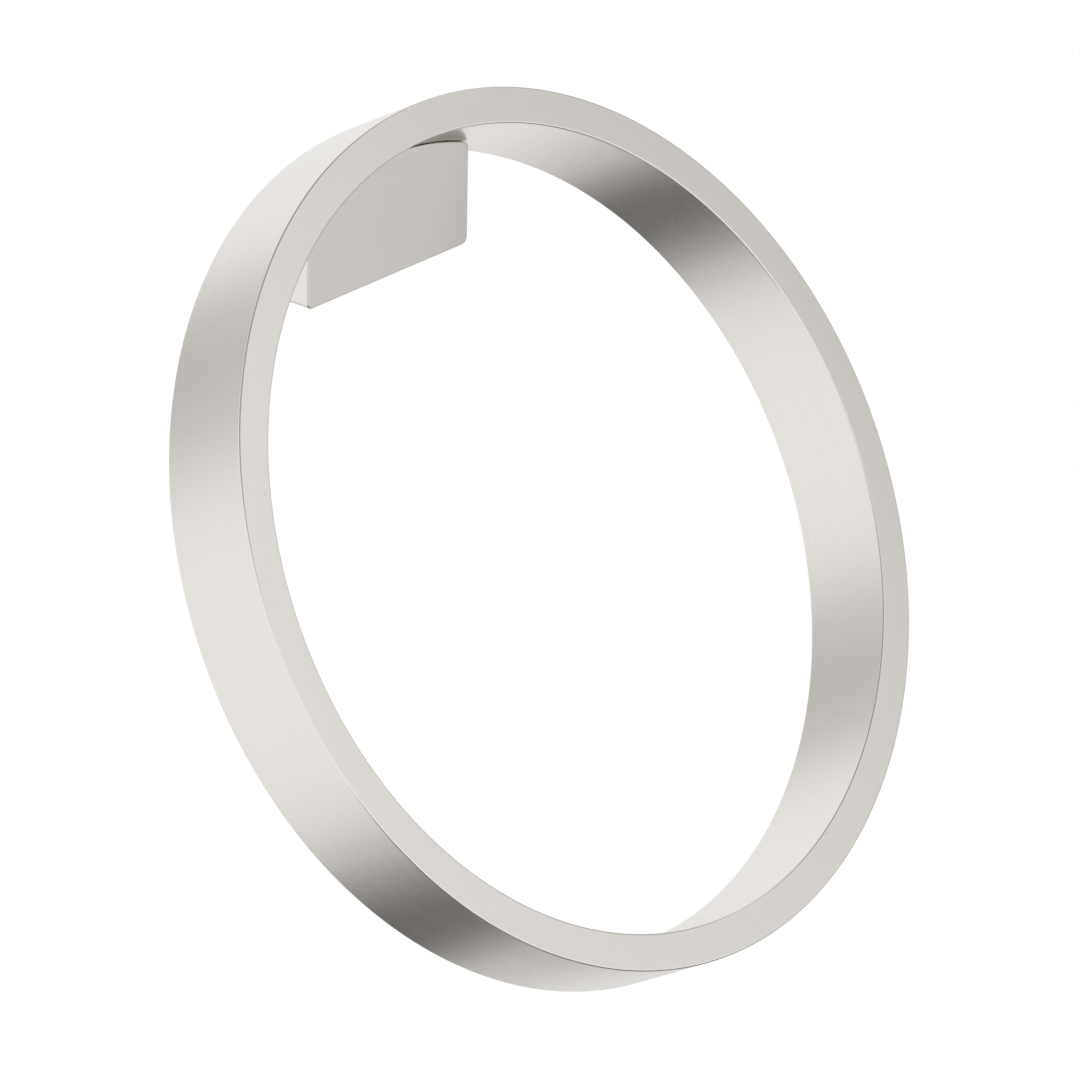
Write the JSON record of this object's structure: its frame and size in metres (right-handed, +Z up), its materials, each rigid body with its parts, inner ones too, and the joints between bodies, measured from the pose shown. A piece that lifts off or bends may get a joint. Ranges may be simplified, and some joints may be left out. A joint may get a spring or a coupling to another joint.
{
  "type": "towel ring",
  "caption": "Wall-mounted towel ring: a flat-bar hoop in brushed nickel that leans out from the wall, held at its top by a small arched block on a hidden bracket.",
  "frame": {"origin": "on the wall, midway between the two wall screws", "axes": "+Y into the wall, +Z up, +X to the right as seen from the room, so the object stands out towards -Y"},
  "size_m": [0.19, 0.118, 0.1754],
  "materials": {
    "brushed_nickel": "fine brushed, warm grey",
    "bracket_zinc": "plain cast, zinc plated",
    "screw_steel": "plain turned"
  },
  "bodies": {
    "root": {"towel_ring": "brushed_nickel", "mounting_block": "brushed_nickel", "wall_bracket": "bracket_zinc", "set_screw": "screw_steel", "ring_screw_left": "screw_steel", "ring_screw_right": "screw_steel"}
  },
  "joints": []
}
